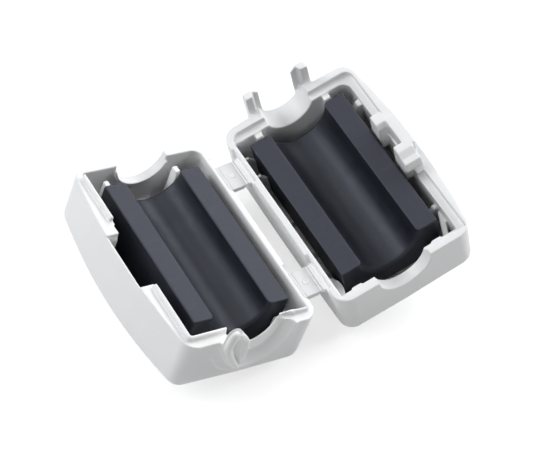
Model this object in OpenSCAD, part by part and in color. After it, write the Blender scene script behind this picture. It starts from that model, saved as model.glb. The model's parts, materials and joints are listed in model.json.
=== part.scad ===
// Clip-on ferrite bead: two moulded half shells on a pair of two-film hinges, each holding half a
// ferrite core. Both halves are drawn in one half frame: X runs from the hinge film to the latch,
// Y along the hinge and cable, and Z = 0 is the parting plane, with the shell below it.

/* [Ferrite core] */
// Length of the core along the cable
core_l = 28.5; // [28:0.1:28.6]
// Width of each half core
core_w = 17.1; // [17:0.1:17.2]
// Depth of each half core
core_h = 8.5; // [8.3:0.1:8.5]
// Radius of the cable groove
groove_r = 4.95; // [4.8:0.05:5]
// Chamfer round the mouths of the groove
mouth_chamfer = 0.5; // [0.3:0.1:0.6]
// Chamfer along the two back edges of the core
back_chamfer = 1.2; // [0.8:0.1:1.4]
// Height of the core's legs below the parting plane
core_sink = 0.05; // [0.05:0.05:0.1]

/* [Case] */
// Length of the case along the hinge
case_l = 37.6; // [37.5:0.1:38]
// Depth of a half shell at its hinge side, in the middle of its length
case_h = 11.4; // [11.2:0.1:11.6]
// Rise of the back from its middle to its ends
back_bow = 0.8; // [0.4:0.1:1]
// Rise of the back from the hinge side to the latch side
back_lean = 0.35; // [0.2:0.05:0.4]
// Reach from the hinge film to the middle of the latch side
latch_x = 25.5; // [25.4:0.1:25.8]
// Bow of the latch side, from its middle to its ends
latch_bow = 1.1; // [0.8:0.1:1.2]
// Radius of the upright corners
corner_r = 2.6; // [2.2:0.1:2.8]
// Radius of the back edges
back_r = 2.4; // [2:0.1:2.6]
// Reach from the hinge film to the outside of the hinge wall
hinge_wall_x = 0.66; // [0.64:0.02:0.7]
// Height of the raised lip, and a little less than the depth of the step that takes it
lip_h = 0.8; // [0.6:0.1:0.9]

/* [Hinge] */
// Distance between the two films of a hinge
film_gap = 3; // [3:0.05:3.1]
// Depth of the films below the parting plane
film_drop = 1.45; // [1.4:0.05:1.45]
// Distance of each hinge from the middle of the case
pad_y = 11.5; // [11.2:0.1:11.8]
// Length of a hinge pad along the film
pad_l = 5.1; // [4.8:0.1:5.4]
// Radius of the film's bead
film_r = 0.2; // [0.18:0.01:0.2]
// Tilt of each half from lying flat, as it stands half open
half_tilt = 14.5; // [12:0.5:16]

/* [Cable entries] */
// Radius of the plain notches in the end walls
notch_r = 4.5; // [4.4:0.05:4.6]
// Radius of the dished entry at its outer face
dish_r = 7.05; // [6.8:0.05:7.1]

/* [Latch] */
// Height of the latch block above the parting plane
latch_h = 3; // [2.8:0.1:3.2]

/* [Hidden] */
$fn = 96;
// cuts run past the faces that they open by this much
eps = 0.5;
plastic = [0.9, 0.9, 0.91];
ferrite = [0.2, 0.21, 0.24];
half_l = case_l / 2;
corner_y = half_l - corner_r;
core_x = 12.14;
core_top = -core_sink;
core_under = core_top - core_h;
core_lo_x = core_x - core_w / 2;
core_hi_x = core_x + core_w / 2;
// gap left round a core where a rib holds it
slack = 0.1;
// inside faces of the walls: hinge side, latch side, and the ends of each half
hollow_x = 1.75;
a_latch_x = 22.95;
b_latch_x = 22.5;
a_near_y = -16.85;
a_far_y = 17.45;
b_near_y = -16.7;
b_far_y = 16.15;
// outside faces of half A's lip, and of the step in half B that takes it
lip_x = 23.65;
lip_y = -17.4;
step_x = 23.75;
step_near_y = -17.5;
step_far_y = 17.35;
step_h = lip_h + 0.1;
inner_corner_r = 0.3;
floor_low = -9.7;
floor_bow = 0.7;
// inside of the thin wall left outside the latch opening
wall_skin_x = 25.05;
// inner edge of the rim strip that is cut away beside the hinge pads
land_in_x = 1.12;
recess_l = 7;
// height of the films, with the back of each half standing on the floor at its hinge side
film_over_back = -back_z(corner_y / 9) - back_r - film_drop;
film_z = back_r + film_over_back * cos(half_tilt) - (hinge_wall_x + back_r) * sin(half_tilt);

// ---- placing ----
// from the half frame to where half B stands
module place_b() {
    translate([film_gap / 2, 0, film_z]) rotate([0, -half_tilt, 0]) translate([0, 0, film_drop]) children();
}
// half A stands on the other side of the hinge
module place_a() {
    mirror([1, 0, 0]) place_b() children();
}

// ---- small helpers ----
// box between two corners
module span(lo, hi) {
    translate(lo) cube(hi - lo);
}
// outline in X and Z, drawn out along Y from y0 to y1
module along_y(y0, y1) {
    translate([0, y1, 0]) rotate([90, 0, 0]) linear_extrude(y1 - y0) children();
}
// outline in Y and Z, drawn out along X from x0 to x1
module along_x(x0, x1) {
    translate([x0, 0, 0]) rotate([90, 0, 90]) linear_extrude(x1 - x0) children();
}
// outline in radius and height, turned about the cable's axis, with its height running along +Y
module about_cable(z) {
    translate([core_x, 0, z]) rotate([-90, 0, 0]) rotate_extrude() children();
}
module bar_along_y(x, z, r, y0, y1) {
    translate([x, y0, z]) rotate([-90, 0, 0]) cylinder(r = r, h = y1 - y0);
}
// upright box with round corners on its plan
module soft_box(lo, hi, r) {
    translate(lo) linear_extrude(hi[2] - lo[2]) soft_rect(hi[0] - lo[0], hi[1] - lo[1], r);
}
module soft_rect(w, l, r) {
    translate([r, 0]) square([w - 2 * r, l]);
    translate([0, r]) square([w, l - 2 * r]);
    for (x = [r, w - r], y = [r, l - r]) translate([x, y]) circle(r);
}

// ---- shells ----
function latch_wall_x(y) = latch_x - latch_bow * pow(y / corner_y, 2);
function back_z(y) = -case_h + back_bow * pow(y / corner_y, 2);
// the back leans up towards the latch side, and is a little crowned across its width
function lean_z(x) = back_lean * x / latch_x;

// outside of a shell: back and latch side are both bowed, and all edges but the rim are round
module shell_blank() {
    last = 4.5;
    rim_t = 0.4;
    hull() {
        // an even number of stations leaves the middle of the back flat, so that it stands still
        for (i = [-last:last]) {
            y = corner_y * i / last;
            edges = [hinge_wall_x + back_r, core_x, latch_wall_x(y) - back_r];
            for (n = [0:2]) {
                crown = n == 1 ? 0.25 : 0;
                lean = n == 0 ? 0 : lean_z(edges[n]);
                translate([edges[n], y, back_z(y) + back_r + lean - crown]) {
                    if (abs(i) < last) rotate([90, 0, 0]) cylinder(r = back_r, h = 0.02, $fn = 32);
                    else sphere(back_r, $fn = 32);
                }
            }
            translate([latch_wall_x(y) - corner_r, y, -rim_t]) {
                cylinder(r = corner_r, h = rim_t, $fn = 64);
            }
        }
        for (y = [-corner_y, corner_y]) translate([hinge_wall_x + corner_r, y, -rim_t]) {
            cylinder(r = corner_r, h = rim_t, $fn = 64);
        }
    }
}

// hollow of a shell, with a bowed floor of even thickness and rounded floor edges
module hollow(lo_y, hi_y, hi_x) {
    edge_r = 1.2;
    bow_r = (pow(half_l, 2) + pow(floor_bow, 2)) / (2 * floor_bow);
    intersection() {
        soft_box([hollow_x, lo_y, -case_h], [hi_x, hi_y, 2], inner_corner_r);
        along_y(lo_y, hi_y) {
            translate([hollow_x, floor_low]) soft_rect(hi_x - hollow_x, case_h + 4, edge_r);
        }
        along_x(hollow_x, hi_x) intersection() {
            translate([0, floor_low + bow_r]) circle(bow_r, $fn = 720);
            translate([lo_y, floor_low]) soft_rect(hi_y - lo_y, case_h + 4, edge_r);
        }
    }
}

// cross ribs on the floor of the shell, which the core lies on
module floor_ribs(latch_x1) {
    for (y = [-10, -3.4, 3.4, 10]) {
        span([hollow_x - 0.2, y - 0.5, floor_low - 0.3], [latch_x1 + 0.2, y + 0.5, core_under]);
    }
}

// upright rib on a long wall, which holds the core from the side; its top slopes down to the core
module side_rib(wall_x, core_side_x, y, w, top) {
    way = sign(core_side_x - wall_x);
    along_y(y - w / 2, y + w / 2) polygon([
        [wall_x - 0.2 * way, floor_low], [core_side_x, floor_low], [core_side_x, top - 1.6],
        [wall_x + 0.7 * way, top], [wall_x - 0.2 * way, top]
    ]);
}

// block that holds the core from one end, with a slope that leads it in
module end_rib(side, x, w, crest, reach, top, slope) {
    core_end = core_l / 2 + slack;
    along_x(x - w / 2, x + w / 2) scale([side, 1]) {
        polygon([
            [reach, floor_low], [core_end, floor_low], [core_end, top - slope], [crest, top], [reach, top]
        ]);
    }
}

// rib across a corner of the hollow, between two points on plan
module corner_rib(p, q, t, top) {
    run = q - p;
    translate([p[0], p[1], floor_low]) rotate([0, 0, atan2(run[1], run[0])]) {
        translate([0, -t / 2, 0]) cube([norm(run), t, top - floor_low]);
    }
}

// ---- hinge ----
// root of a film on a shell: a short shelf that ends in a seat for the film's bead
module film_root(y) {
    difference() {
        along_y(y - pad_l / 2, y + pad_l / 2) translate([0, -film_drop]) {
            polygon([[-0.05, -0.6], [0.35, -0.95], [1.2, -0.95], [1.2, 0.12], [-0.05, 0.12]]);
        }
        bar_along_y(0, -film_drop, film_r + 0.05, y - pad_l, y + pad_l);
    }
}

// recess in the hinge-side rim, which gives a closing pad its room
module pad_recess(y, deep_side) {
    shelf_z = -film_drop + 0.12;
    span([0, y - recess_l / 2, shelf_z], [land_in_x, y + recess_l / 2, eps]);
    // deeper pocket at one end, past the pad
    if (deep_side) {
        span([0, y + pad_l / 2 - 0.2, shelf_z - 1.1], [land_in_x, y + recess_l / 2, eps]);
    }
}

// pad between the two films, with a gate mark on top
module hinge_pad(y) {
    bead_x = film_gap / 2;
    plate_x = bead_x - film_r;
    translate([0, y, film_z]) {
        along_y(-pad_l / 2, pad_l / 2) polygon([
            [-bead_x, -0.12], [-plate_x, -0.12], [-plate_x + 0.35, -0.75], [plate_x - 0.35, -0.75],
            [plate_x, -0.12], [bead_x, -0.12], [bead_x, 0.12], [plate_x - 0.1, 0.12],
            [plate_x - 0.2, 0.2], [-plate_x + 0.2, 0.2], [-plate_x + 0.1, 0.12], [-bead_x, 0.12]
        ]);
        for (x = [-bead_x, bead_x]) bar_along_y(x, 0, film_r, -pad_l / 2, pad_l / 2);
        translate([0, 0, 0.2]) difference() {
            cylinder(r = 0.5, h = 0.12);
            translate([0, 0, 0.06]) cylinder(r = 0.3, h = 1);
        }
    }
}

// ---- cable entries ----
module plain_notch(y0, y1) {
    bar_along_y(core_x, 0, notch_r, y0, y1);
}

// dished entry: a round mouth, a rolled edge and a wide dish in the outer face
module dished_notch() {
    mouth_r = notch_r - 0.1;
    face = -half_l;
    about_cable(0) {
        polygon([
            [0, face - eps], [mouth_r + 1, face - eps], [mouth_r + 1, face + 0.9],
            [mouth_r, face + 1.8], [mouth_r, -15], [0, -15]
        ]);
    }
    // the dish is a bowl, deepest at the mouth
    bowl = [for (a = [0:15:90]) [dish_r - 2.3 + 2.3 * cos(a), face + 0.95 * sin(a)]];
    about_cable(-0.9) polygon(concat([[0, face - eps], [dish_r, face - eps]], bowl, [[0, face + 0.95]]));
}

// finger beside the dished entry: its outline at the back and, bevelled to a smaller one, at the front
module cable_finger() {
    back = -half_l - 0.4;
    front = -half_l - 1.6;
    rim = [for (a = [-80:10:0]) [core_x + (dish_r + 0.3) * cos(a), -0.9 + (dish_r + 0.3) * sin(a)]];
    tip = [for (a = [-10:25:140]) [17.3 + 1.25 * cos(a), 2.05 + 1.25 * sin(a)]];
    hull() {
        along_y(back - 0.1, back) polygon(concat(tip, [
            [14.1, 0.2], [13.6, -3.5], [13.4, -6.6], [13.9, -7.2],
            [15.4, -6.1], [17.2, -3.6], [18.5, -1.1], [18.66, 0.5]
        ]));
        along_y(front, front + 0.1) polygon([
            [15.1, 1.3], [14.7, 0.4], [14.4, -3.5], [14.3, -5.6], [15.1, -5.5],
            [16.3, -3.7], [17.2, -1.7], [17.4, 0.8], [17.2, 1.6], [16.6, 1.9]
        ]);
    }
    // root that carries the finger, filling the latch side of the dish
    along_y(-half_l, -half_l + 1.2) polygon(concat(rim, [[19.4, -0.1], [16.8, -0.1], [15.4, -3.1], [13, -5]]));
    along_y(back - 0.05, -half_l + 0.1) polygon([
        [13.4, -6.6], [13.9, -7.2], [15.4, -6.1], [17.2, -3.6],
        [18.5, -1.1], [18.55, -0.1], [15, -0.1], [14.2, -4]
    ]);
}

// pair of prongs, either side of the apron; each has a thin plate at its back that reaches inwards
module cable_prongs() {
    face = half_l + 0.5;
    plate = half_l + 1.5;
    back = half_l + 1.9;
    top = 3.8;
    for (side = [0, 1]) translate([core_x, 0, 0]) mirror([side, 0, 0]) {
        intersection() {
            translate([0, 0, -6]) linear_extrude(20) {
                polygon([[4.45, face], [5.7, face], [5.7, back], [3, back], [3, plate], [4, plate]]);
            }
            along_y(face - 1, back + 1) {
                polygon([[3, -3.4], [3, top - 1.1], [4.1, top], [5.5, top], [5.7, top - 0.3], [5.7, -3.4]]);
            }
        }
        // foot that ties the prong to the wall below the parting plane
        along_x(3.2, 5.7) {
            polygon([
                [half_l - 0.8, -5], [back, -3], [back, -0.8], [face, -0.8], [face, 0], [half_l - 0.8, 0]
            ]);
        }
    }
}

// half-round apron that leads the cable out between the prongs
module cable_apron() {
    difference() {
        translate([core_x, half_l - 0.6, 0]) rotate([-90, 0, 0]) {
            cylinder(r1 = notch_r + 1.2, r2 = 4.5, h = 1.9);
        }
        span([0, 0, 0], [30, 30, 20]);
        // its end stands a little lower, behind the prongs' front faces
        span([0, half_l + 0.5, -0.8], [30, 30, 20]);
    }
}

// ---- latch ----
module latch_block() {
    in_x = 21.1;
    bar_x = 22.8;
    out_x = 24.6;
    // bar along the wall
    span([bar_x, -2.1, -2], [out_x, 4.35, latch_h]);
    // far ear, with a bevel towards the pocket
    along_x(in_x, bar_x + 0.2) {
        polygon([
            [5.9, -3], [5.9, latch_h - 0.2], [5.7, latch_h], [3.9, latch_h], [3.2, latch_h - 0.8], [3.2, -3]
        ]);
    }
    // near ear, with a stepped end
    along_x(in_x + 0.1, 24) {
        polygon([
            [-1, -3], [-1, latch_h], [-2.4, latch_h], [-3.5, latch_h - 0.6], [-4.6, latch_h - 0.75],
            [-4.6, 1.9], [-4.77, 1.9], [-4.77, 1.55], [-4.94, 1.55], [-4.94, 1.2], [-5.1, 1.2],
            [-5.1, 0.9], [-4, -0.6], [-4, -3]
        ]);
    }
}

// opening that takes the latch block, leaving only the thin outer wall
module latch_opening() {
    span([b_latch_x - 1, -5.7, -4.4], [wall_skin_x, 4.8, lip_h + eps]);
    span([b_latch_x - 1, 4.7, -4.4], [23.25, 6.6, lip_h + eps]);
    // the thin wall outside the opening stands a little low
    span([wall_skin_x - eps, -5.7, -0.3], [latch_x + eps, 4.8, eps]);
    // the lip stops short of the latch at both ends
    span([b_latch_x - 1, -6.3, 0], [step_x + 0.3, 7.3, lip_h + eps]);
}

// tooth with a stepped end on the far side of the opening
module latch_tooth_steps() {
    for (i = [0:2]) {
        span([23.25, 4.8 - 0.15 * i - 0.01, -3], [wall_skin_x, 4.95 - 0.15 * i, -0.45 - 0.35 * i]);
    }
}

// ---- half shells ----
// raised lip along the latch side and the near end of half A
module lip_ring() {
    soft = 0.2;
    outer_r = inner_corner_r + a_near_y - lip_y;
    difference() {
        intersection() {
            union() {
                soft_box([hollow_x, lip_y, -1], [lip_x, a_far_y, lip_h - soft], outer_r);
                soft_box([hollow_x, lip_y + soft, -1], [lip_x - soft, a_far_y, lip_h], outer_r - soft);
            }
            // its far end bends in a little, as the step that takes it does
            soft_box([-5, -30, -2], [lip_x, step_far_y - 0.1, lip_h + 1], 1.4);
        }
        soft_box([hollow_x - 1, a_near_y, -2], [a_latch_x, a_far_y + 3, lip_h + 1], inner_corner_r);
        span([hollow_x, 16.7, -2], [lip_x + 1, half_l, lip_h + 1]);
        // no lip along the hinge side, and a slot between its end and the land
        span([0, a_near_y - 0.1, -2], [hollow_x + 3, half_l, lip_h + 1]);
        span([0, -half_l, -2], [hollow_x + 0.15, half_l, lip_h + 1]);
        // round end at the cable entry
        bar_along_y(core_x, 0, notch_r + 0.3, -half_l, a_near_y + 1);
    }
}

// collar round the plain notch of half A, inside the far wall
module notch_collar() {
    difference() {
        bar_along_y(core_x, 0, notch_r + 0.35, 17, a_far_y + 0.2);
        span([0, 16, -1], [30, 20, 10]);
    }
}

module case_half_a() color(plastic) place_a() {
    difference() {
        union() {
            difference() {
                union() {
                    shell_blank();
                    lip_ring();
                }
                intersection() {
                    hollow(a_near_y, a_far_y, a_latch_x);
                    // only the far corner on the hinge side is well rounded
                    soft_box([hollow_x, -30, -case_h - 1], [30, a_far_y, 3], 1.6);
                }
                pad_recess(pad_y, false);
                pad_recess(-pad_y, false);
                latch_opening();
            }
            intersection() {
                shell_blank();
                union() {
                    floor_ribs(a_latch_x);
                    for (y = [-13.2, -9.4, 9.4, 13.2]) side_rib(hollow_x, core_lo_x - slack, y, 0.8, -5);
                    for (y = [-12, 12]) side_rib(a_latch_x, core_hi_x + slack, y, 0.8, -3);
                    for (x = [4.7, 19.5]) end_rib(-1, x, 1.4, 16.1, -a_near_y + 0.1, -2, 1.6);
                    for (x = [6.7, 19.25]) end_rib(1, x, 0.9, 14.8, 16, -1.1, 0.9);
                    notch_collar();
                    corner_rib([a_latch_x + 0.1, 12.5], [19.5, 15.85], 0.25, -1.1);
                }
            }
            for (y = [-pad_y, pad_y]) film_root(y);
            latch_tooth_steps();
        }
        plain_notch(a_far_y - 3, half_l + eps);
        dished_notch();
    }
    cable_finger();
}

module case_half_b() color(plastic) place_b() {
    difference() {
        union() {
            difference() {
                shell_blank();
                intersection() {
                    hollow(b_near_y, b_far_y, b_latch_x);
                    // only the far corner on the latch side is well rounded
                    soft_box([-5, -30, -case_h - 1], [b_latch_x, b_far_y, 3], 1.6);
                }
                lip_step();
                pad_recess(pad_y, true);
                pad_recess(-pad_y, true);
            }
            intersection() {
                shell_blank();
                union() {
                    floor_ribs(b_latch_x);
                    for (y = [-13.2, -9.4]) side_rib(hollow_x, core_lo_x - slack, y, 0.8, -5);
                    for (y = [9.3, 13.2]) side_rib(hollow_x, core_lo_x - slack, y, 0.5, -1.4);
                    side_rib(b_latch_x, core_hi_x + slack, -10.6, 0.8, -2.6);
                    side_rib(b_latch_x, core_hi_x + slack, 12, 1.2, -1.6);
                    for (x = [4.7, 18.9]) {
                        end_rib(-1, x, 1.7, 16.2, -b_near_y + 0.1, -5, 1.6);
                        end_pad(x, 1.7);
                    }
                    for (x = [5.9, 18.4]) end_rib(1, x, 1.2, 15.2, b_far_y + 0.1, -1.1, 1.6);
                    corner_boss();
                    corner_rib([b_latch_x + 0.1, -11.6], [20.6, b_near_y - 0.1], 0.9, -3);
                }
            }
            for (y = [-pad_y, pad_y]) film_root(y);
            cable_apron();
            cable_prongs();
        }
        plain_notch(-half_l - eps, b_near_y + 1);
        // the channel through the far wall and the apron narrows a little outwards
        about_cable(0.4) polygon([[0, 15], [4.15, 15], [4.15, 16.3], [4, half_l + 1.45], [0, half_l + 1.45]]);
    }
    latch_block();
}

// low pad on the inside of half B's near wall
module end_pad(x, w) {
    near = -b_near_y;
    along_x(x - w / 2, x + w / 2) scale([-1, 1]) {
        polygon([
            [near + 0.1, -2.6], [near, -2.6], [near - 0.3, -1.8], [near - 0.3, -step_h], [near + 0.1, -step_h]
        ]);
    }
}

// broad round boss in the near corner of half B on the hinge side
module corner_boss() {
    translate([0.6, -13.7, floor_low]) cylinder(r = 2.85, h = -3.6 - floor_low);
}

// step in the rim of half B that takes the other half's lip, left out where the latch block stands
module lip_step() {
    difference() {
        soft_box([hollow_x, step_near_y, -step_h], [step_x, step_far_y, eps], 1.5);
        span([b_latch_x - 1, -5.5, -case_h], [step_x + eps, 7.15, 1]);
    }
    // the near end's step runs square into both corners
    span([hollow_x, step_near_y, -step_h], [step_x, b_near_y + 1, eps]);
}

module hinge_pad_far() color(plastic) hinge_pad(pad_y);

module hinge_pad_near() color(plastic) hinge_pad(-pad_y);

// ---- cores ----
module half_core() {
    c = back_chamfer;
    difference() {
        along_y(-core_l / 2, core_l / 2) polygon([
            [core_lo_x, core_top], [core_lo_x, core_under + c], [core_lo_x + c, core_under],
            [core_hi_x - c, core_under], [core_hi_x, core_under + c], [core_hi_x, core_top]
        ]);
        bar_along_y(core_x, 0, groove_r, -core_l, core_l);
        for (side = [0, 1]) mirror([0, side, 0]) about_cable(0) polygon([
            [0, core_l / 2 + eps], [groove_r + mouth_chamfer + eps, core_l / 2 + eps],
            [groove_r, core_l / 2 - mouth_chamfer], [0, core_l / 2 - mouth_chamfer]
        ]);
    }
}

module core_a() color(ferrite) place_a() half_core();

module core_b() color(ferrite) place_b() half_core();

case_half_a();
case_half_b();
hinge_pad_far();
hinge_pad_near();
core_a();
core_b();
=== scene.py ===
"""Looks of the clip-on ferrite bead: a hinged plastic case standing open, with half a core in each half.

Every CAD node is replaced by an eased copy of itself that rides the same body, so it follows every pose.
Lengths are in metres, except in the tables that say mm. A place in a half is given in that half's own
frame: X out from its hinge film, Y along the hinge, and Z up from the parting plane.
"""
import json
import math

import bmesh
import bpy
import numpy as np
from mathutils import Matrix, Vector

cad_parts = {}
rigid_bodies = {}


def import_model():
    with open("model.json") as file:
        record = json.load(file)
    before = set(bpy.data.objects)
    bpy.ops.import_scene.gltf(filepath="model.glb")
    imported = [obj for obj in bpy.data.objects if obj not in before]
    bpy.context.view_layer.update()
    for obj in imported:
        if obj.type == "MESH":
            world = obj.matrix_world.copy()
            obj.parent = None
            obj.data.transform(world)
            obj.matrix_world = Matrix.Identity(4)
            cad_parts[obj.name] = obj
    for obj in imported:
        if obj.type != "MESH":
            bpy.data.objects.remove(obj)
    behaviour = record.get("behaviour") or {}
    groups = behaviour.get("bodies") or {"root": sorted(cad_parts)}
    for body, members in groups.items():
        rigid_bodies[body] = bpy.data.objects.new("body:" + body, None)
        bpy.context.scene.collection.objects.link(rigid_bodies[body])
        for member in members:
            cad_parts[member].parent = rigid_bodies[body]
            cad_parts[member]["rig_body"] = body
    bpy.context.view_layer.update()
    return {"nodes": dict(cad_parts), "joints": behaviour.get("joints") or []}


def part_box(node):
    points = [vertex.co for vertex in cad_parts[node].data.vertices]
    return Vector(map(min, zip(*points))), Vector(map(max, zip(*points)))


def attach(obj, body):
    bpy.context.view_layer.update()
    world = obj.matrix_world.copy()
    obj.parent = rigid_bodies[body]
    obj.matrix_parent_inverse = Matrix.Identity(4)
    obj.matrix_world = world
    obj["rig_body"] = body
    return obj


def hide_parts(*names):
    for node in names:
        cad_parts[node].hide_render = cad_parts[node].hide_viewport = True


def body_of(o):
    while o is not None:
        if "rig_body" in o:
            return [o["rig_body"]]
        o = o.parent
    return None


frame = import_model()
scene = bpy.context.scene
MM = 0.001

# ---- the part's own measures ----
# half A lies on the -X side and half B on the +X side
SIDE_A, SIDE_B = -1, 1
# each film is this far out from the middle and this high above the floor
FILM_GAP = frame["joints"][0]["pos_m"][0]
FILM_Z = frame["joints"][0]["pos_m"][2]
# each half stands tilted by this much, its latch side up; its film is a little under the parting plane
TILT = math.radians(14.5)
FILM_Z_OVER_PLANE = -1.45 * MM
# the outer faces of the end walls are this far from the middle
HALF_LENGTH = 18.8 * MM
# half A's dished cable entry: its axis, the radius of its mouth and the radius of the dish
ENTRY_X = 12.14 * MM
ENTRY_Z = -0.9 * MM
MOUTH_RADIUS = 4.4 * MM
DISH_RADIUS = 7.05 * MM

# ---- how the copies are eased ----
WELD_DISTANCE = 0.001 * MM
SMOOTH_FACTOR = 0.5
SMOOTH_PASSES = 3
# an edge this round counts as fully sharp, and its sharpness spreads over this many rounds
EDGE_RADIUS = 0.35 * MM
EDGE_ROUNDS = 2
# each kind of piece: the size of its voxels and its most triangles
SHELL_DETAIL = (0.13 * MM, 190000)
PAD_DETAIL = (0.06 * MM, 20000)
CORE_DETAIL = (0.12 * MM, 90000)

# ---- what is shaped only here, all of it at the near end of half A ----
# the dish is hollowed this much between its mouth and rim, where it gets a low ridge; the place and the
# width of the ridge are shares of the way from the mouth to the rim
TROUGH_DEPTH = 0.42 * MM
RIDGE_HEIGHT = 0.13 * MM
RIDGE_PLACE = 1.07
RIDGE_WIDTH = 0.09
# faces of the end wall lie in front of this, and the dish fades out between these on its latch side
END_WALL_FRONT = 1.6 * MM - HALF_LENGTH
DISH_FADES = (14.6 * MM, 13.6 * MM)
# the end of half A's lip, out and along, drawn in so that the eased halves don't touch when shut
LIP_END = (5.0 * MM, -17.5 * MM)
LIP_END_REACH = 0.8 * MM
LIP_END_DRAWN_IN = 0.12 * MM
LIP_RISES = (-0.2 * MM, 0.1 * MM)
# what is in front of this on the finger is sunk by this much, between its two rolled edges
FINGER_FRONT = -20.15 * MM
FINGER_SUNK = 0.85 * MM
# the rolled edges in mm, each point as X, Y, Z and radius
LATCH_EDGE = (
    (17.35, -19.78, 2.05, 0.9),
    (17.7, -19.78, 0.6, 0.75),
    (17.65, -19.75, -0.9, 0.74),
    (16.6, -19.75, -3.1, 0.72),
    (15.1, -19.65, -5.2, 0.6),
    (13.9, -19.4, -6.5, 0.42),
)
CABLE_EDGE = (
    (16.0, -19.75, 1.7, 0.45),
    (14.75, -19.8, 0.3, 0.45),
    (14.3, -19.8, -1.8, 0.45),
    (14.0, -19.7, -3.8, 0.42),
    (13.8, -19.5, -5.4, 0.36),
)
# each stretch of a roll is this many balls, never deeper than this: so they stay in front of half B when shut
BALLS_PER_STRETCH = 12
FINGER_HALF_DEPTH = 0.57 * MM
# the finger is smoothed once more from here outwards
FINGER_X = 12.5 * MM
FINGER_STARTS = (0.1 * MM - HALF_LENGTH, -0.4 * MM - HALF_LENGTH)
FINGER_LEAST_WEIGHT = 0.01

# ---- ground leg tops of the cores ----
# a face counts as ground from this far upright, fully so after this much more, and this near the top
GROUND_UPRIGHT = 0.96
GROUND_UPRIGHT_SPAN = 0.035
GROUND_DEPTH = 0.25 * MM

# ---- stage ----
CAMERA_LENS = 156.3
CAMERA_SENSOR = 36.0
CAMERA_CLIP = (0.01, 10.0)
CAMERA_RIGHT = (0.86522, -0.49614, 0.07241)
CAMERA_UP = (0.35821, 0.7127, 0.60311)
CAMERA_PLACE = (-0.12689, -0.17977, 0.28873 + FILM_Z)
# each soft box: direction from the part, its watts and its tint
WHITE = (1, 1, 1)
COOL = (0.95, 0.97, 1)
SOFT_BOXES = {
    "right": ((0.85, -0.1, 0.5), 3.7, WHITE),
    "right_back": ((0.69, 0.5, 0.52), 2.0, COOL),
    "left_back": ((-0.62, 0.6, 0.5), 2.5, COOL),
    "left_front": ((-0.6, -0.6, 0.5), 1.2, WHITE),
    "top_left": ((-0.5, 0.2, 0.84), 1.1, WHITE),
    "top_back": ((0, 0.5, 0.86), 0.9, WHITE),
}
SOFT_BOX_SIZE = 0.4
SOFT_BOX_AWAY = 0.75
SOFT_BOX_AIM = (0, 0, 0.008)
WORLD_LEVEL = 0.02
FLOOR_HALF_WIDTH = 1.5
FLOOR_TONE = 0.6
FLOOR_ROUGHNESS = 0.8
# the floor is seen this much brighter than its lamps make it, so that it reads as white
FLOOR_GLOW = 0.60


# ---- meshes ----
def bake_modifiers(piece):
    """Turns a piece's modifiers into its mesh."""
    graph = bpy.context.evaluated_depsgraph_get()
    final = bpy.data.meshes.new_from_object(piece.evaluated_get(graph))
    piece.modifiers.clear()
    piece.data = final


def vertex_places(mesh):
    flat = np.empty(3 * len(mesh.vertices), np.float32)
    mesh.vertices.foreach_get("co", flat)
    return flat.reshape(-1, 3)


def vertex_normals(mesh):
    flat = np.empty(3 * len(mesh.vertices), np.float32)
    mesh.vertex_normals.foreach_get("vector", flat)
    return flat.reshape(-1, 3)


def store_per_vertex(mesh, name, values):
    layer = mesh.attributes.new(name, "FLOAT", "POINT")
    layer.data.foreach_set("value", np.ascontiguousarray(values, np.float32))


def ramp(values, start, end):
    """0 at start, 1 at end, and smooth between; start may be the larger."""
    t = np.clip((values - start) / (end - start), 0, 1)
    return t * t * (3 - 2 * t)


def edge_sharpness(mesh):
    """How convex the surface is at each vertex: 0 on flats and in hollows, up to 1 along edges."""
    places, normals = vertex_places(mesh), vertex_normals(mesh)
    ends = np.empty(2 * len(mesh.edges), np.int32)
    mesh.edges.foreach_get("vertices", ends)
    a, b = ends.reshape(-1, 2).T
    way = places[b] - places[a]
    length = np.maximum(np.linalg.norm(way, axis=1), 1e-7)
    bend = np.einsum("ij,ij->i", normals[b] - normals[a], way) / length**2
    count = len(places)
    weight = np.bincount(a, length, count) + np.bincount(b, length, count)
    total = np.bincount(a, bend * length, count) + np.bincount(b, bend * length, count)
    curve = total / np.maximum(weight, 1e-9)
    near = np.bincount(a, minlength=count) + np.bincount(b, minlength=count)
    for _ in range(EDGE_ROUNDS):
        around = np.bincount(a, curve[b], count) + np.bincount(b, curve[a], count)
        curve = 0.5 * curve + 0.5 * around / np.maximum(near, 1)
    return np.clip(curve * EDGE_RADIUS, 0, 1)


def half_frame(places, side):
    """World places as X, Y and Z in a half's own frame. Y is a view, so it follows later moves along Y."""
    out = side * places[:, 0] - FILM_GAP
    rise = places[:, 2] - FILM_Z
    x = out * math.cos(TILT) + rise * math.sin(TILT)
    z = rise * math.cos(TILT) - out * math.sin(TILT) + FILM_Z_OVER_PLANE
    return x, places[:, 1], z


def from_half_a(x, y, z):
    """The world place of a place in half A's own frame."""
    above = z - FILM_Z_OVER_PLANE
    out = x * math.cos(TILT) - above * math.sin(TILT)
    rise = x * math.sin(TILT) + above * math.cos(TILT)
    return Vector((-out - FILM_GAP, y, rise + FILM_Z))


# ---- shapes ----
def roll_finger_edges(welded):
    """Sinks the front of half A's finger and puts a round roll along each of its edges."""
    for vert in welded.verts:
        if vert.co.y < FINGER_FRONT:
            vert.co.y += FINGER_SUNK
    for path in (LATCH_EDGE, CABLE_EDGE):
        for start, end in zip(path[:-1], path[1:]):
            for share in np.linspace(0, 1, BALLS_PER_STRETCH):
                point = (1 - share) * np.array(start) + share * np.array(end)
                x, y, z, radius = point * MM
                flat = Matrix.Diagonal((1, min(1, FINGER_HALF_DEPTH / radius), 1, 1))
                place = Matrix.Translation(from_half_a(x, y, z)) @ flat
                bmesh.ops.create_icosphere(welded, subdivisions=2, radius=radius, matrix=place)


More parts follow.
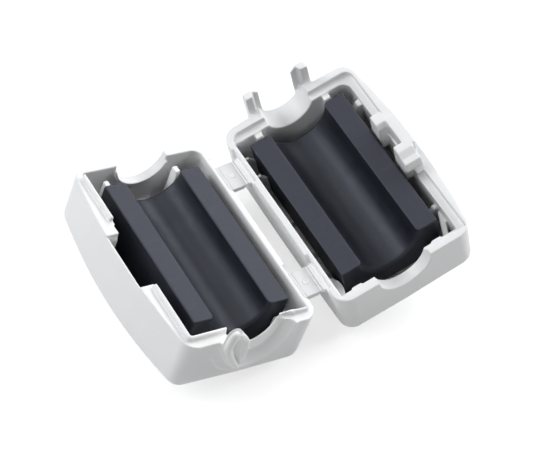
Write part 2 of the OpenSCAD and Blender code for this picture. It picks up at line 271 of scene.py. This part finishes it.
def shape_dished_entry(piece):
    """Hollows the dish round half A's cable entry, draws in the lip's end and rounds the finger."""
    mesh = piece.data
    places, normals = vertex_places(mesh), vertex_normals(mesh)
    x, y, z = half_frame(places, SIDE_A)
    from_axis = np.hypot(x - ENTRY_X, z - ENTRY_Z)
    spread = (from_axis - MOUTH_RADIUS) / (DISH_RADIUS - MOUTH_RADIUS)
    front = ramp(-normals[:, 1], 0.1, 0.5) * (y < END_WALL_FRONT) * ramp(x, *DISH_FADES)
    trough = TROUGH_DEPTH * np.sin(math.pi * np.clip(spread, 0, 1)) ** 2
    ridge = RIDGE_HEIGHT * np.exp(-(((spread - RIDGE_PLACE) / RIDGE_WIDTH) ** 2))
    places[:, 1] += front * (trough - ridge)

    aside = np.hypot(x - LIP_END[0], y - LIP_END[1]) / LIP_END_REACH
    close = np.exp(-(aside**2)) * ramp(z, *LIP_RISES)
    inwards = np.array([math.cos(TILT), 1, -math.sin(TILT)])
    places += (LIP_END_DRAWN_IN * close)[:, None] * inwards
    mesh.vertices.foreach_set("co", places.ravel())
    mesh.update()

    on_finger = ramp(y, *FINGER_STARTS) * (x > FINGER_X)
    group = piece.vertex_groups.new(name="finger")
    for i in np.flatnonzero(on_finger > FINGER_LEAST_WEIGHT):
        group.add([int(i)], float(on_finger[i]), "REPLACE")
    round_off = piece.modifiers.new("round", "SMOOTH")
    round_off.factor = SMOOTH_FACTOR
    round_off.iterations = SMOOTH_PASSES
    round_off.vertex_group = group.name
    bake_modifiers(piece)


def eased_copy(node, material, detail):
    """Stands for a CAD node, with its edges and corners eased as a mould or a tumbling drum leaves them."""
    voxel, most_triangles = detail
    source = frame["nodes"][node]
    mesh = source.data.copy()
    piece = bpy.data.objects.new(node + "_eased", mesh)
    scene.collection.objects.link(piece)
    welded = bmesh.new()
    welded.from_mesh(mesh)
    bmesh.ops.remove_doubles(welded, verts=welded.verts, dist=WELD_DISTANCE)
    if node == "case_half_a":
        roll_finger_edges(welded)
    welded.to_mesh(mesh)
    welded.free()

    remesh = piece.modifiers.new("remesh", "REMESH")
    remesh.mode = "VOXEL"
    remesh.voxel_size = voxel
    smooth = piece.modifiers.new("smooth", "SMOOTH")
    smooth.factor = SMOOTH_FACTOR
    smooth.iterations = SMOOTH_PASSES
    bake_modifiers(piece)
    if node == "case_half_a":
        shape_dished_entry(piece)
    triangles = 2 * len(piece.data.polygons)
    if triangles > most_triangles:
        thin = piece.modifiers.new("thin", "DECIMATE")
        thin.ratio = most_triangles / triangles
        bake_modifiers(piece)

    mesh = piece.data
    low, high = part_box(node)
    places = np.clip(vertex_places(mesh), np.array(low), np.array(high))
    mesh.vertices.foreach_set("co", places.astype(np.float32).ravel())
    mesh.update()
    mesh.shade_smooth()
    # the copy still has the CAD's own material
    mesh.materials.clear()
    mesh.materials.append(material)
    store_per_vertex(mesh, "edge", edge_sharpness(mesh))

    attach(piece, body_of(source)[0])
    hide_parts(node)
    return piece


def mark_ground_faces(piece, side):
    """Marks the flat leg tops, which are ground so that the two half cores meet without a gap."""
    mesh = piece.data
    up = np.array([-side * math.sin(TILT), 0, math.cos(TILT)])
    height = vertex_places(mesh) @ up
    upright = vertex_normals(mesh) @ up
    facing = np.clip((upright - GROUND_UPRIGHT) / GROUND_UPRIGHT_SPAN, 0, 1)
    store_per_vertex(mesh, "ground", facing * (height > height.max() - GROUND_DEPTH))


# ---- materials ----
class NodeMaterial:
    """A node material, with short ways to add the nodes that feed its shader."""

    def __init__(self, name):
        self.material = bpy.data.materials.new(name)
        self.material.use_nodes = True
        self.tree = self.material.node_tree
        self.shader = self.tree.nodes["Principled BSDF"]
        self.coords = self.add("ShaderNodeTexCoord")

    def add(self, kind, links=(), **values):
        """A node with these links into it and these settings, each an attribute or an input."""
        node = self.tree.nodes.new(kind)
        for key, value in values.items():
            if hasattr(node, key):
                setattr(node, key, value)
            else:
                node.inputs[key.replace("_", " ")].default_value = value
        for socket, source in links:
            self.tree.links.new(source, node.inputs[socket])
        return node

    def feed(self, socket, value):
        """Links a socket to a node's output, or gives it a plain value."""
        if isinstance(value, bpy.types.NodeSocket):
            self.tree.links.new(value, socket)
        else:
            socket.default_value = value

    def noise(self, scale, detail, stretch=(1, 1, 1), rough=0.5):
        """A grain with this many cells a metre; a stretch below 1 draws it out along that axis."""
        here = self.coords.outputs["Object"]
        place = self.add("ShaderNodeVectorMath", [(0, here)], operation="MULTIPLY")
        place.inputs[1].default_value = stretch
        links = [("Vector", place.outputs[0])]
        node = self.add("ShaderNodeTexNoise", links, Scale=scale, Detail=detail, Roughness=rough)
        return node.outputs["Fac"]

    def span(self, value, low, high, to_low, to_high):
        """The value between low and high, spread from to_low to to_high."""
        node = self.add(
            "ShaderNodeMapRange",
            [("Value", value)],
            From_Min=low,
            From_Max=high,
            To_Min=to_low,
            To_Max=to_high,
        )
        return node.outputs["Result"]

    def math(self, operation, first, second):
        node = self.add("ShaderNodeMath", operation=operation)
        self.feed(node.inputs[0], first)
        self.feed(node.inputs[1], second)
        return node.outputs[0]

    def blend(self, factor, a, b):
        """Mixes two colours; each is four numbers or a socket."""
        node = self.add("ShaderNodeMix", data_type="RGBA")
        # a colour mix has its factor at 0 and its two colours at 6 and 7
        for place, value in ((0, factor), (6, a), (7, b)):
            self.feed(node.inputs[place], value)
        return node.outputs[2]

    def bump(self, height, strength, distance, below=None):
        """A relief this deep, on top of the one below."""
        node = self.add("ShaderNodeBump", [("Height", height)], Strength=strength, Distance=distance)
        if below is not None:
            self.tree.links.new(below, node.inputs["Normal"])
        return node.outputs["Normal"]

    def stored(self, name):
        """What store_per_vertex has put on the mesh under this name."""
        return self.add("ShaderNodeAttribute", attribute_name=name).outputs["Fac"]

    def plug(self, socket, value):
        self.feed(self.shader.inputs[socket], value)


def plastic_material():
    """White moulded plastic: a fine spark texture, faint flow clouds, edges made less rough by handling, and
    a painted highlight that lightens the colour along convex edges.
    """
    shade, bright = (0.785, 0.793, 0.803, 1), (0.822, 0.826, 0.83, 1)
    flow_tint = (0.80, 0.80, 0.785, 1)
    speck_tint = (0.70, 0.705, 0.71, 1)
    # painted highlight: a lighter colour laid along convex edges, where light catches them
    edge_highlight_tint = (0.87, 0.87, 0.865, 1)

    kit = NodeMaterial("white_plastic")
    cloud = kit.noise(95.0, 3.0)
    flow = kit.noise(260.0, 2.0, (1, 0.25, 1))
    speck = kit.noise(3400.0, 2.0)
    edge = kit.stored("edge")
    tone = kit.blend(kit.span(cloud, 0.35, 0.68, 0, 1), shade, bright)
    tone = kit.blend(kit.span(flow, 0.4, 0.7, 0, 0.35), tone, flow_tint)
    tone = kit.blend(kit.span(speck, 0.58, 0.78, 0, 0.22), tone, speck_tint)
    # painted highlight: the base colour is lightened along convex edges
    tone = kit.blend(kit.math("MULTIPLY", edge, 0.5), tone, edge_highlight_tint)
    kit.plug("Base Color", tone)

    spark = kit.bump(kit.noise(5200.0, 3.0), 0.16, 0.03 * MM)
    ripple = kit.bump(kit.noise(330.0, 2.0), 0.12, 0.05 * MM, spark)
    kit.plug("Normal", ripple)
    polish = kit.math("MULTIPLY", edge, 0.1)
    kit.plug("Roughness", kit.math("SUBTRACT", kit.span(cloud, 0.3, 0.7, 0.40, 0.52), polish))
    return kit.material


def ferrite_material():
    """Dark sintered ferrite: mottled grain, streaks along the groove, and fine scratches on the leg tops."""
    pressed_dark, pressed_light = (0.005, 0.006, 0.009, 1), (0.008, 0.0095, 0.014, 1)
    lapped_dark, lapped_light = (0.019, 0.0195, 0.028, 1), (0.027, 0.0275, 0.039, 1)
    streak_tint = (0.013, 0.0155, 0.023, 1)
    scratch_tint = (0.040, 0.041, 0.056, 1)
    grain_tint = (0.055, 0.058, 0.07, 1)
    worn_tint = (0.06, 0.062, 0.075, 1)

    kit = NodeMaterial("sintered_ferrite")
    mottle = kit.noise(520.0, 5.0, rough=0.6)
    streak = kit.noise(1100.0, 3.0, (1, 0.035, 1))
    grain = kit.noise(5200.0, 4.0, rough=0.65)
    scratch = kit.noise(1500.0, 3.0, (0.12, 1, 0.12))
    ground = kit.stored("ground")
    edge = kit.stored("edge")

    pressed = kit.blend(kit.span(mottle, 0.3, 0.72, 0, 1), pressed_dark, pressed_light)
    pressed = kit.blend(kit.span(streak, 0.42, 0.66, 0, 0.55), pressed, streak_tint)
    lapped = kit.blend(kit.span(mottle, 0.3, 0.72, 0, 1), lapped_dark, lapped_light)
    lapped = kit.blend(kit.span(scratch, 0.58, 0.80, 0, 0.4), lapped, scratch_tint)
    tone = kit.blend(ground, pressed, lapped)
    tone = kit.blend(kit.span(grain, 0.60, 0.80, 0, 0.4), tone, grain_tint)
    worn = kit.math("MULTIPLY", edge, kit.span(mottle, 0.35, 0.6, 0.1, 0.5))
    tone = kit.blend(worn, tone, worn_tint)
    kit.plug("Base Color", tone)

    relief = kit.bump(grain, 0.4, 0.03 * MM)
    relief = kit.bump(streak, 0.22, 0.05 * MM, relief)
    relief = kit.bump(kit.math("MULTIPLY", scratch, ground), 0.12, 0.015 * MM, relief)
    kit.plug("Normal", relief)
    kit.plug("Specular IOR Level", 0.32)
    kit.plug("Specular Tint", (0.82, 0.87, 1.0, 1))
    matt = kit.math("MULTIPLY", ground, 0.08)
    kit.plug("Roughness", kit.math("ADD", kit.span(mottle, 0.3, 0.7, 0.38, 0.48), matt))
    return kit.material


# ---- stage ----
def add_camera():
    cam = bpy.data.objects.new("camera", bpy.data.cameras.new("camera"))
    scene.collection.objects.link(cam)
    cam.data.lens = CAMERA_LENS
    cam.data.sensor_width = CAMERA_SENSOR
    cam.data.clip_start, cam.data.clip_end = CAMERA_CLIP
    right = Vector(CAMERA_RIGHT)
    up = Vector(CAMERA_UP)
    back = right.cross(up)
    turn = Matrix((right, up, back)).transposed().to_4x4()
    cam.matrix_world = Matrix.Translation(Vector(CAMERA_PLACE)) @ turn
    scene.camera = cam


def add_lights():
    aim = Vector(SOFT_BOX_AIM)
    for name, (way, power, tint) in SOFT_BOXES.items():
        lamp = bpy.data.lights.new(name, "AREA")
        lamp.shape = "DISK"
        lamp.size = SOFT_BOX_SIZE
        lamp.energy = power
        lamp.color = tint
        box = bpy.data.objects.new(name, lamp)
        scene.collection.objects.link(box)
        box.location = aim + SOFT_BOX_AWAY * Vector(way).normalized()
        box.rotation_mode = "QUATERNION"
        box.rotation_quaternion = (aim - box.location).to_track_quat("-Z", "Y")


def seen_not_lit(tree):
    """1 for what the camera, a reflection or something clear shows, 0 for light that falls on the part."""
    path = tree.nodes.new("ShaderNodeLightPath")
    value = path.outputs["Is Camera Ray"]
    for ray in ("Is Glossy Ray", "Is Transmission Ray"):
        either = tree.nodes.new("ShaderNodeMath")
        either.operation = "MAXIMUM"
        tree.links.new(value, either.inputs[0])
        tree.links.new(path.outputs[ray], either.inputs[1])
        value = either.outputs[0]
    return value


def add_world():
    """A white backdrop that is seen but adds almost no light."""
    world = bpy.data.worlds.new("studio")
    scene.world = world
    world.use_nodes = True
    tree = world.node_tree
    light = tree.nodes["Background"]
    light.inputs["Color"].default_value = (1, 1, 1, 1)
    light.inputs["Strength"].default_value = WORLD_LEVEL
    backdrop = tree.nodes.new("ShaderNodeBackground")
    backdrop.inputs["Color"].default_value = (1, 1, 1, 1)
    mix = tree.nodes.new("ShaderNodeMixShader")
    tree.links.new(seen_not_lit(tree), mix.inputs["Fac"])
    tree.links.new(light.outputs[0], mix.inputs[1])
    tree.links.new(backdrop.outputs[0], mix.inputs[2])
    tree.links.new(mix.outputs[0], tree.nodes["World Output"].inputs["Surface"])


def add_floor():
    """A pale floor that reads as white and keeps the part's soft shadow."""
    half = FLOOR_HALF_WIDTH
    mesh = bpy.data.meshes.new("floor")
    corners = [(-half, -half, 0), (half, -half, 0), (half, half, 0), (-half, half, 0)]
    mesh.from_pydata(corners, [], [(0, 1, 2, 3)])
    floor = bpy.data.objects.new("floor", mesh)
    scene.collection.objects.link(floor)
    mat = bpy.data.materials.new("floor")
    mat.use_nodes = True
    tree = mat.node_tree
    shader = tree.nodes["Principled BSDF"]
    shader.inputs["Base Color"].default_value = (FLOOR_TONE, FLOOR_TONE, FLOOR_TONE, 1)
    shader.inputs["Roughness"].default_value = FLOOR_ROUGHNESS
    glow = tree.nodes.new("ShaderNodeEmission")
    level = tree.nodes.new("ShaderNodeMath")
    level.operation = "MULTIPLY"
    level.inputs[1].default_value = FLOOR_GLOW
    tree.links.new(seen_not_lit(tree), level.inputs[0])
    tree.links.new(level.outputs[0], glow.inputs["Strength"])
    both = tree.nodes.new("ShaderNodeAddShader")
    tree.links.new(shader.outputs[0], both.inputs[0])
    tree.links.new(glow.outputs[0], both.inputs[1])
    tree.links.new(both.outputs[0], tree.nodes["Material Output"].inputs["Surface"])
    mesh.materials.append(mat)


scene.view_settings.view_transform = "Standard"
add_camera()
add_lights()
add_world()
add_floor()

plastic = plastic_material()
ferrite = ferrite_material()
for name in ("case_half_a", "case_half_b"):
    eased_copy(name, plastic, SHELL_DETAIL)
for name in ("hinge_pad_far", "hinge_pad_near"):
    eased_copy(name, plastic, PAD_DETAIL)
for name, side in (("core_a", SIDE_A), ("core_b", SIDE_B)):
    core = eased_copy(name, ferrite, CORE_DETAIL)
    mark_ground_faces(core, side)
